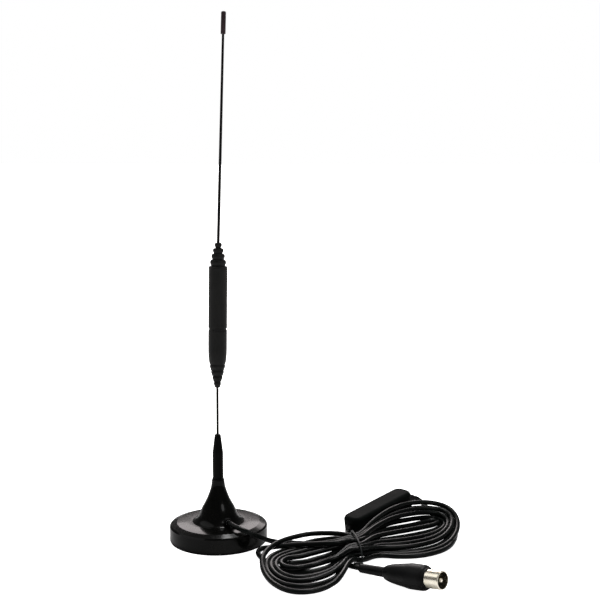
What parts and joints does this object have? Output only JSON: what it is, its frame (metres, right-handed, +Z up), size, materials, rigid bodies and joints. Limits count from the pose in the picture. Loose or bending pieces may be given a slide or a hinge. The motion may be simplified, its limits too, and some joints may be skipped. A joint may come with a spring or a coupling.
{
  "type": "magnetic base whip antenna",
  "caption": "Loaded whip antenna on a round magnetic foot, with a tied hank of thin coaxial cable, an in-line booster box and a push-on aerial plug.",
  "frame": {"origin": "centre of the underside of the magnetic foot", "axes": "+Z up along the mast, +X towards the side where the cable hank lies, -Y towards the plug side"},
  "size_m": [0.1662, 0.1353, 0.2923],
  "materials": {
    "foot_cover": "smooth satin-gloss black moulding",
    "foot_rubber": "matt black rubber sheet",
    "ferrite": "dull dark grey sintered ferrite",
    "zinc_steel": "zinc plated",
    "brass": "turned",
    "white_nylon": "moulded",
    "tinned_copper": "tinned",
    "black_rubber": "moulded, matt black",
    "core_insulation": "extruded",
    "mast_plastic": "satin black moulding",
    "black_steel": "black coated spring steel",
    "coil_plastic": "fine satin black moulding",
    "copper": "enamelled copper wire",
    "tip_plastic": "dark moulded cap",
    "box_plastic": "fine matt texture",
    "circuit_board": "solder mask",
    "chip_plastic": "moulded",
    "grip_plastic": "satin black overmoulding",
    "nickel": "nickel plated brass",
    "dark_insulator": "moulded",
    "cable_jacket": "satin black flexible jacket",
    "tie_wire": "plastic covered wire"
  },
  "bodies": {
    "foot": {"base_cover": "foot_cover", "foot_pad": "foot_rubber", "ring_magnet": "ferrite", "yoke_plate": "zinc_steel", "mast_socket": "brass", "insulating_bush": "white_nylon", "insulating_washer": "white_nylon", "solder_tag": "tinned_copper", "socket_nut": "brass", "ground_lug": "tinned_copper", "ground_screw": "zinc_steel", "cable_grommet": "black_rubber", "coax_core": "core_insulation", "lead_cable": "cable_jacket", "booster_cable": "cable_jacket", "tail_cable": "cable_jacket", "cable_hank": "cable_jacket", "hank_tie": "tie_wire", "booster_upper_shell": "box_plastic", "booster_lower_shell": "box_plastic", "booster_board": "circuit_board", "booster_shield_can": "tinned_copper", "booster_chip": "chip_plastic", "booster_input_relief": "black_rubber", "booster_output_relief": "black_rubber", "plug_grip": "grip_plastic", "plug_boot": "grip_plastic", "plug_shell": "nickel", "plug_insulator": "dark_insulator", "plug_pin": "nickel"},
    "seal": {"mast_seal_ring": "black_rubber"},
    "mast": {"mast_ferrule": "brass", "ferrule_sleeve": "mast_plastic", "lower_rod": "black_steel"},
    "whip": {"lower_coil_housing": "coil_plastic", "upper_coil_housing": "coil_plastic", "lower_crimp": "brass", "upper_crimp": "brass", "coil_former": "white_nylon", "phasing_coil": "copper", "whip": "black_steel", "whip_tip": "tip_plastic"}
  },
  "joints": [
    {"name": "mast_lift", "type": "slide", "parent": "foot", "child": "seal", "axis": [0, 0, 1], "range_m": [0, 0.007]},
    {"name": "mast_unscrew", "type": "hinge", "parent": "seal", "child": "mast", "pos_m": [0, 0, 0.0349], "axis": [0, 0, 1], "range_deg": [0, 3600]},
    {"name": "whip_sway", "type": "hinge", "parent": "mast", "child": "whip", "pos_m": [0.00006, 0, 0.07445], "axis": [0, 1, 0], "range_deg": [-25, 25], "stiffness_Nm_per_rad": 0.8, "deforming": ["lower_rod"]}
  ],
  "couplings": [
    {"joint": "mast_unscrew", "follows": "mast_lift", "rad_per_m": 8976}
  ]
}
